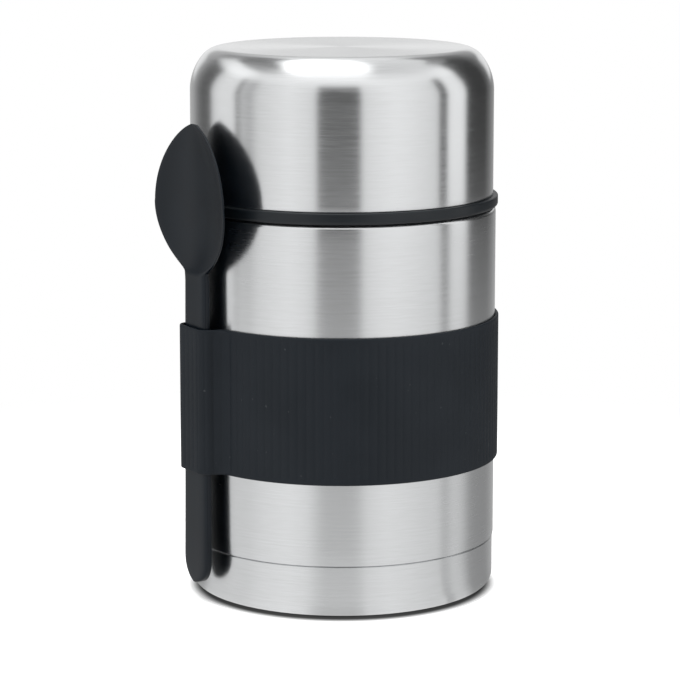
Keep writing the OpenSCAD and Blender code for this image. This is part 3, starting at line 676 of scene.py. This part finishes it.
# One thread is cut into the skirt's bore, and one stands on its outside below the flutes
def capBulge(angle, radius, height):
    middle = (cap["skirtIn"] + cap["skirtOut"])/2
    inBore = np.abs(radius - cap["skirtIn"]) < nearly
    outSide = (radius > middle) & (height > cap["low"] + cap["lowEdge"])
    outward = threadRidge(angle, height, capThreadOut) + fluteDepth(angle, radius, height)
    return np.where(inBore, threadRidge(angle, height, capThreadIn), 0) + np.where(outSide, outward, 0)


turnedPiece("stopperCap", capLoop(), cap, "stopper", "stopperPlastic", "stopper_cap",
            capBulge)


# Stopper plug: the flange under the cap, the cup that reaches into the neck, and the vent tube
plug = {
    "radius": 37.3, "wall": 2.0, "low": 122.0, "edge": 3.5, "flangeOut": 42.25, "flangeLow": 145.1,
    "flangeTop": 146.9, "tubeOut": 6.3, "tubeIn": 4.5, "tubeTop": 141.95, "port": 3.1, "floor": 124.0,
    "rim": 0.3, "segments": 192}


def plugLoop():
    side, low, edge, floor, port, rim = sizesOf(plug, "radius low edge floor port rim")
    out, flangeLow, flangeTop = sizesOf(plug, "flangeOut flangeLow flangeTop")
    inner, innerEdge = side - plug["wall"], edge - plug["wall"]
    return joinedRuns(
        lineRun((port, low), (side - edge, low), 10),
        arcRun(side - edge, low + edge, edge, -90, 0, 12),
        lineRun((side, low + edge), (side, flangeLow), 12),
        arcRun(out - rim, flangeLow + rim, rim, -90, 0, 4),
        arcRun(out - rim, flangeTop - rim, rim, 0, 90, 4),
        lineRun((inner, flangeTop), (inner, floor + innerEdge), 12),
        arcRun(inner - innerEdge, floor + innerEdge, innerEdge, 0, -90, 8),
        lineRun((plug["tubeOut"], floor), (plug["tubeOut"], plug["tubeTop"]), 8),
        lineRun((plug["tubeIn"], plug["tubeTop"]), (plug["tubeIn"], floor), 8),
        lineRun((port, floor), (port, low), 3)[:-1])


turnedPiece("stopperPlug", plugLoop(), plug, "stopper", "stopperPlastic", "stopper_plug")


# Foam between the cap's plate and the plug, round the tube and under the well
foam = {"radius": 35.1, "low": 124.2, "high": 146.75, "edge": 1.5, "bore": 6.5, "wellRadius": 11.15,
        "wellLow": 141.8, "segments": 96}


def foamLoop():
    radius, low, high, edge, bore = sizesOf(foam, "radius low high edge bore")
    well, wellLow = foam["wellRadius"], foam["wellLow"]
    return joinedRuns(
        lineRun((bore, low), (radius - edge, low), 6),
        arcRun(radius - edge, low + edge, edge, -90, 0, 6),
        lineRun((radius, low + edge), (radius, high), 4),
        lineRun((well, high), (well, wellLow), 3),
        lineRun((bore, wellLow), (bore, low), 5)[:-1])


turnedPiece("foamFill", foamLoop(), foam, "stopper", "foamWhite", "stopper_foam")


# Vent button: a cap with a shallow dish for the finger, hollow below, and the socket for the stem
button = {
    "radius": 8.8, "top": 151.15, "low": 145.95, "edge": 1.0, "dishRadius": 6.6, "dishDeep": 0.35,
    "skirt": 1.2, "roof": 149.65, "socketOut": 2.7, "socketIn": 1.55, "socketLow": 139.0,
    "socketTop": 144.0, "middle": 0.3, "segments": 120}


# The dish is a dip of cosine shape: deep*(1 + cos(pi r/dish))/2
def buttonRows():
    radius, top, low, edge, middle, roof = sizesOf(button, "radius top low edge middle roof")
    socketIn, socketOut, socketLow, socketTop = sizesOf(button, "socketIn socketOut socketLow socketTop")
    across = np.linspace(radius - edge, middle, 22)
    share = np.clip(across/button["dishRadius"], 0, 1)
    dish = np.stack([across, top - button["dishDeep"]*(1 + np.cos(math.pi*share))/2], axis=1)
    inner = radius - button["skirt"]
    return joinedRuns(
        cornerRun([(middle, socketTop), (socketIn, socketTop), (socketIn, socketLow)], [3, 4]),
        lineRun((socketOut, socketLow), (socketOut, roof), 6),
        lineRun((inner, roof), (inner, low), 4),
        lineRun((radius, low), (radius, top - edge), 5),
        arcRun(radius - edge, top - edge, edge, 0, 90, 10),
        dish)


turnedPiece("ventButton", buttonRows(), button, "vent", "buttonPlastic", "vent_button",
            closedRows=False)


# Return spring: a round section, out and up from a helix's middle line, carried along it
spring = {"radius": 5.2, "wire": 0.8, "low": 143.45, "high": 149.6, "curls": 4, "rows": 220, "sides": 12,
          "pressed": 2.2}


def springGrid():
    wire, low, high, curls = sizesOf(spring, "wire low high curls")
    turns = np.linspace(0, curls, spring["rows"])[:, None]
    height = low + wire/2 + (high - low - wire)*turns/curls
    side = np.linspace(0, fullTurn, spring["sides"], endpoint=False)[None, :]
    radius = spring["radius"] + wire/2*np.cos(side)
    lift = height + wire/2*np.sin(side)
    return np.stack([radius*np.cos(fullTurn*turns), radius*np.sin(fullTurn*turns), lift + 0*turns], axis=-1)


springPiece = gridPiece("ventSpring", springGrid(), "stopper", "springWire", ["vent_spring"],
                        closedRows=False)
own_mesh(springPiece)


# Silicone rings and the vent's disc. Their sections are two rounded rectangles, a circle, and a
# rectangle whose lower outer corner is rounded
gasket = {"inner": 37.66, "outer": 41.65, "low": 143.05, "high": 145.05, "edge": 0.5, "segments": 240}
lidRing = {"inner": 47.25, "outer": 48.55, "low": 125.45, "high": 127.45, "edge": 0.32, "segments": 240}
stemRing = {"middle": 3.25, "wire": 1.2, "height": 137.75, "sides": 24, "segments": 96}
disc = {"inner": 2.05, "outer": 6.0, "low": 120.5, "high": 121.9, "edge": 0.65, "segments": 96}
turnedPiece("stopperGasket", roundedSection(gasket), gasket, "stopper_ring", "milkySilicone",
            "stopper_gasket")
turnedPiece("lidSeal", roundedSection(lidRing), lidRing, "lid_ring", "sealSilicone",
            "lid_seal")
sides = stemRing["sides"]
stemSection = arcRun(stemRing["middle"], stemRing["height"], stemRing["wire"], 0, 360 - 360/sides, sides)
turnedPiece("stemRing", stemSection, stemRing, "vent", "sealSilicone", "stem_ring")


def discSection():
    inner, outer, low, high, edge = sizesOf(disc, "inner outer low high edge")
    return joinedRuns(
        arcRun(outer - edge, low + edge, edge, -90, 0, 8),
        lineRun((outer, high), (inner, high), 8),
        lineRun((inner, low), (outer - edge, low), 8)[:-1])


turnedPiece("ventDisc", discSection(), disc, "vent", "milkySilicone", "vent_seal")


# Nodes that come from the CAD as they are, with a finish each
nodeFinish = {"bottom_plate": "linerSteel", "getter": "getterMetal", "vacuum_bead": "beadMetal",
              "vent_stem": "buttonPlastic"}
for nodeName, finish in nodeFinish.items():
    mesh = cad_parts[nodeName].data
    mesh.materials.clear()
    mesh.materials.append(bpy.data.materials[finish])
print("finishes on the carried-over nodes")


# The studio: a pale floor, a round tent of panels that only reflections see, and soft lamps.
# Lengths are in metres. The bands are the heights where the tent's tones go over from the floor's
# to the wall's, to those above the front gap, and to the top's
studio = {
    "cameraAzimuth": -31.0, "tentRadius": 0.45, "tentHeight": 0.75, "tentSegments": 128, "toneTop": 1.6,
    "bands": [(-0.03, 0.115), (0.37, 0.44), (0.54, 0.60)], "jarRadius": shell["radius"]*mm,
    "worldLight": 0.60}
# The floor: its paper, a painted shadow in a dark line round the foot (its darkest tone, its edges and how it
# leans forwards), where it turns plain white, how its distance counts as height on the tent's wall, and a
# pale glow before the jar that only reflections see
ground = {
    "size": 6.0, "pale": 0.80, "seen": 0.90, "paintedShadowTone": 0.04, "paintedShadowEdges": (0.0464, 0.0520),
    "paintedShadowLean": 0.066, "white": (0.12, 0.32), "rise": 0.182, "fillFront": (0.05, 0.07),
    "fillAway": (0.075, 0.16), "fillTone": 0.85, "fillShare": 0.35}
# Tones by bearing, which is where a reflection off the jar's side heads, in degrees from the camera's
# side, positive to its right. The wall: dark limb, side panels with a thin dark gap in each, front gap
wallTones = {
    -180: 0.55, -150: 0.40, -140: 0.22, -130: 0.12, -119: 0.12, -113: 0.80, -105: 0.92, -88.5: 0.95,
    -87: 0.28, -83.5: 0.28, -82: 0.62, -77: 0.60, -75: 0.48, -72: 0.52, -66: 0.80, -50: 0.92, -40: 1.0,
    -28: 0.92, -19.6: 0.88, -17.6: 0.13, 13: 0.13, 15: 0.89, 40: 1.04, 52: 1.0, 77.5: 0.83, 78.5: 0.10,
    85.5: 0.10, 87: 1.05, 104.5: 1.05, 109.5: 0.05, 138: 0.05, 180: 0.52}
# Above the front gap, and above the side panels
upperTones = {
    -180: 0.75, -171: 0.70, -163: 0.30, -152: 0.40, -140: 0.80, -116: 1.2, -92: 1.3, -76: 1.0, -46: 1.05,
    40: 1.08, 78: 1.0, 92: 1.1, 107: 1.2, 112: 0.10, 136: 0.06, 163: 0.22, 171: 0.6, 180: 0.75}
topTones = {
    -180: 1.05, -171: 0.95, -163: 0.22, -120: 0.26, -90: 0.42, -70: 0.70, -52: 1.1, -20: 1.25, 16: 1.25,
    36: 0.95, 62: 0.85, 102: 0.85, 112: 0.45, 130: 0.32, 163: 0.20, 171: 0.95, 180: 1.05}
floorTones = {
    -180: 0.33, -135: 0.36, -124: 0.45, -117: 0.66, -108: 0.72, -90: 0.76, -74: 0.78, -62: 0.87, -40: 0.96,
    -26: 0.89, -18: 0.70, -12: 0.62, 8: 0.62, 13: 0.68, 18: 0.83, 34: 0.92, 50: 0.85, 66: 0.77, 78: 0.76,
    81.5: 0.54, 86: 0.57, 91: 0.71, 100: 0.68, 113: 0.36, 125: 0.33, 140: 0.31, 156: 0.42, 168: 0.52,
    180: 0.55}
# A panel low at the back for the flat top, by how far behind the jar it is and its height
backPanel = {"tone": 0.88, "near": 0.36, "far": 0.40, "low": 0.16, "high": 0.27, "soft": 0.02}
# The ceiling: dark left of a sloping edge and pale right of it, lifted between that edge and the
# right one, and a bright box there that ends at a back and a front edge
ceiling = {
    "dark": 0.26, "pale": 0.82, "paleSlope": -0.30, "lift": 0.4, "box": 2.3, "leftEdge": -0.30,
    "leftSlope": -0.45, "rightEdge": 0.08, "rightSlope": 0.30, "frontEdge": 0.34, "backEdge": -0.34,
    "soft": 0.07}


# How far right of the camera a point is, and how far towards it
def fromCameraSide(x, y):
    side = math.radians(studio["cameraAzimuth"])
    return x*math.cos(side) + y*math.sin(side), x*math.sin(side) - y*math.cos(side)


# A ramp from each table of bearings and tones
def toneRamps(sheet, bearing, *tables):
    share, top = (bearing + 180)/360, studio["toneTop"]
    ramps = [[((degrees + 180)/360, (tone/top,)*3) for degrees, tone in table.items()] for table in tables]
    return [sheet.add("ShaderNodeValToRGB", {"stops": stops}, {0: share})*top for stops in ramps]


# A ray off the jar's side, turned away by the angle b, meets a circle round the jar where
# sin(b - turn) = jarRadius/away * sin(b/2), solved by putting b back in twice
def bearingOf(sheet, x, y):
    right, ahead = fromCameraSide(x, y)
    turn = sheet.maths("ARCTAN2", right, ahead)
    away = (x*x + y*y)**0.5
    share = sheet.maths("MINIMUM", away**-1*studio["jarRadius"], 1.0)
    heading = turn
    for _ in range(2):
        heading = turn + sheet.maths("ARCSINE", sheet.maths("SINE", heading*0.5)*share)
    return heading*(180/math.pi), ahead, away


def stagePiece(name, points, faces, material):
    mesh = bpy.data.meshes.new(name)
    mesh.from_pydata(points, [], faces)
    mesh.materials.append(material)
    return newObject(name, mesh)


def reflectedOnly(piece):
    for kind in ("camera", "diffuse", "shadow", "transmission"):
        setattr(piece, "visible_" + kind, False)


def glowing(sheet, strength):
    return sheet.add("ShaderNodeEmission", sockets={"Color": (1, 1, 1, 1), "Strength": strength})


# Rays from the camera and rays off a glossy surface
def rayKinds(sheet):
    rays = sheet.add("ShaderNodeLightPath").socket.node.outputs
    return Wire(sheet, rays["Is Camera Ray"]), Wire(sheet, rays["Is Glossy Ray"])


# The tent's points at a height: its radius times the cosine and sine of even steps round the jar
def tentRing(height):
    angle = np.linspace(0, fullTurn, studio["tentSegments"], endpoint=False)
    radius = studio["tentRadius"]
    return np.stack([radius*np.cos(angle), radius*np.sin(angle), 0*angle + height], axis=1)


def makeWall():
    material, sheet = newSheet("tentWall")
    x, y, z = sheet.place()[1:]
    bearing, ahead = bearingOf(sheet, x, y)[:2]
    tone, *higher = toneRamps(sheet, bearing, floorTones, wallTones, upperTones, topTones)
    for above, band in zip(higher, studio["bands"]):
        tone = tone.towards(above, z.easedBetween(*band))
    low, high, soft = sizesOf(backPanel, "low high soft")
    onPanel = (0 - ahead).easedBetween(backPanel["near"], backPanel["far"])
    onPanel = onPanel*z.easedBetween(low, low + soft)*(1 - z.easedBetween(high, high + soft))
    sheet.finishAs(glowing(sheet, tone.towards(backPanel["tone"], onPanel)))
    count = studio["tentSegments"]
    around = np.arange(count)
    after = (around + 1) % count
    faces = np.stack([around, around + count, after + count, after], axis=-1)
    points = np.vstack([tentRing(0), tentRing(studio["tentHeight"])])
    reflectedOnly(stagePiece("tentWall", points.tolist(), faces.tolist(), material))


def makeCeiling():
    material, sheet = newSheet("tentCeiling")
    right, ahead = fromCameraSide(*sheet.place()[1:3])
    dark, front, back, soft = sizesOf(ceiling, "dark frontEdge backEdge soft")
    fromLeft = right - ahead*ceiling["leftSlope"] - ceiling["leftEdge"]
    fromRight = ahead*ceiling["rightSlope"] + ceiling["rightEdge"] - right
    paler = fromLeft.easedBetween(-soft, soft)
    between = paler*fromRight.easedBetween(-soft, soft)
    boxed = between*(1 - ahead.easedBetween(front - soft, front + soft))
    boxed = boxed*ahead.easedBetween(back - soft, back + soft)
    pale = ahead*ceiling["paleSlope"] + ceiling["pale"] + between*ceiling["lift"]
    sheet.finishAs(glowing(sheet, dark + paler*(pale - dark) + boxed*(ceiling["box"] - pale)))
    points = tentRing(studio["tentHeight"]).tolist()
    reflectedOnly(stagePiece("tentCeiling", points, [list(range(len(points)))[::-1]], material))


# The floor is matt to the camera and to diffuse light. To the camera it is white paper that still takes the
# object's real shadow, with a painted shadow as a thin dark line round the foot, and plain white further off.
# To reflections it glows with the tent's lowest tones, paler before the jar
def makeFloor():
    material, sheet = newSheet("paleFloor")
    bearing, ahead, away = bearingOf(sheet, *sheet.place()[1:3])
    tone, wall = toneRamps(sheet, bearing, floorTones, wallTones)
    rise = (away - studio["tentRadius"])*ground["rise"]
    tone = tone.towards(wall, rise.easedBetween(*studio["bands"][0]))
    # A painted pale glow on the floor before the jar, which only reflections see
    atFront = ahead.easedBetween(*ground["fillFront"])*(1 - away.easedBetween(*ground["fillAway"]))
    tone = tone.towards(ground["fillTone"], atFront*ground["fillShare"])
    seen, reflected = rayKinds(sheet)

    def matt(colour):
        return sheet.add("ShaderNodeBsdfDiffuse", sockets={"Color": colour})

    def mixed(share, first, second):
        return sheet.add("ShaderNodeMixShader", sockets={0: share, 1: first, 2: second})

    # Painted shadow: the paper seen by the camera darkens to a thin dark line round the foot, by distance
    # from the axis and leaning towards the camera, whatever the lamps do
    clear = (away - ahead*ground["paintedShadowLean"]).easedBetween(*ground["paintedShadowEdges"])
    seenToneWithPaintedShadow = (clear*(1 - ground["paintedShadowTone"]) + ground["paintedShadowTone"])*ground["seen"]
    white = sheet.vector(seenToneWithPaintedShadow, seenToneWithPaintedShadow, seenToneWithPaintedShadow)
    near = sheet.add("ShaderNodeAddShader", sockets={0: matt(white), 1: matt(white)})
    toCamera = mixed(away.easedBetween(*ground["white"]), near, glowing(sheet, 1.0))
    # To reflections the floor glows with these tones instead of being lit; diffuse light sees plain matt
    # paper
    toOthers = mixed(reflected, matt((ground["pale"],)*3 + (1,)), glowing(sheet, tone))
    sheet.finishAs(mixed(seen, toOthers, toCamera))
    size = ground["size"]
    points = [(-size, -size, 0), (size, -size, 0), (size, size, 0), (-size, size, 0)]
    stagePiece("paleFloor", points, [(0, 1, 2, 3)], material)


# The world is white to the camera and to reflections, and a weaker light to the rest
def makeWorld():
    world = bpy.data.worlds.new("studioWorld")
    bpy.context.scene.world = world
    world.use_nodes = True
    sheet = Sheet(world.node_tree)
    seen, reflected = rayKinds(sheet)
    strength = studio["worldLight"] + (seen + reflected)*(1 - studio["worldLight"])
    glow = sheet.add("ShaderNodeBackground", sockets={"Color": (1, 1, 1, 1), "Strength": strength})
    sheet.add("ShaderNodeOutputWorld", sockets={"Surface": glow})


def fromCamera(azimuth, away, height):
    angle = math.radians(studio["cameraAzimuth"] + azimuth)
    return (math.sin(angle)*away, -math.cos(angle)*away, height)


# A rectangular lamp aimed at a height on the jar's axis, that reflections don't show
def softLamp(name, azimuth, away, height, aim, size, power):
    data = bpy.data.lights.new(name, "AREA")
    data.shape = "RECTANGLE"
    data.size, data.size_y = size
    data.energy = power
    lamp = newObject(name, data)
    lamp.location = fromCamera(azimuth, away, height)
    lamp.rotation_euler = (Vector((0, 0, aim)) - lamp.location).to_track_quat("-Z", "Y").to_euler()
    lamp.visible_glossy = False


makeWall()
makeCeiling()
makeFloor()
makeWorld()
softLamp("topLamp", azimuth=180, away=0.10, height=1.10, aim=0.10, size=(0.7, 0.7), power=2.2)
for name, azimuth in (("leftLamp", -60), ("rightLamp", 60)):
    softLamp(name, azimuth, away=1.2, height=0.7, aim=0.08, size=(0.8, 0.9), power=6.5)

# The camera, fitted to the photo's rings and edges. Its pixels are the photo's
view = {"distance": 0.961, "height": 0.256, "pitchDeg": 10.34, "lens": 157.55, "sensor": 36.0,
        "axisPixel": 342.0, "middlePixel": 340.0, "imagePixels": 680.0, "clipStart": 0.01, "clipEnd": 20}
cameraData = bpy.data.cameras.new("photoCamera")
cameraData.lens = view["lens"]
cameraData.sensor_width = view["sensor"]
cameraData.shift_x = (view["middlePixel"] - view["axisPixel"])/view["imagePixels"]
cameraData.clip_start, cameraData.clip_end = view["clipStart"], view["clipEnd"]
camera = newObject("photoCamera", cameraData)
camera.location = fromCamera(0, view["distance"], view["height"])
camera.rotation_euler = (math.radians(90 - view["pitchDeg"]), 0, math.radians(studio["cameraAzimuth"]))
bpy.context.scene.camera = camera
bpy.context.scene.view_settings.view_transform = "Standard"
print("studio set")
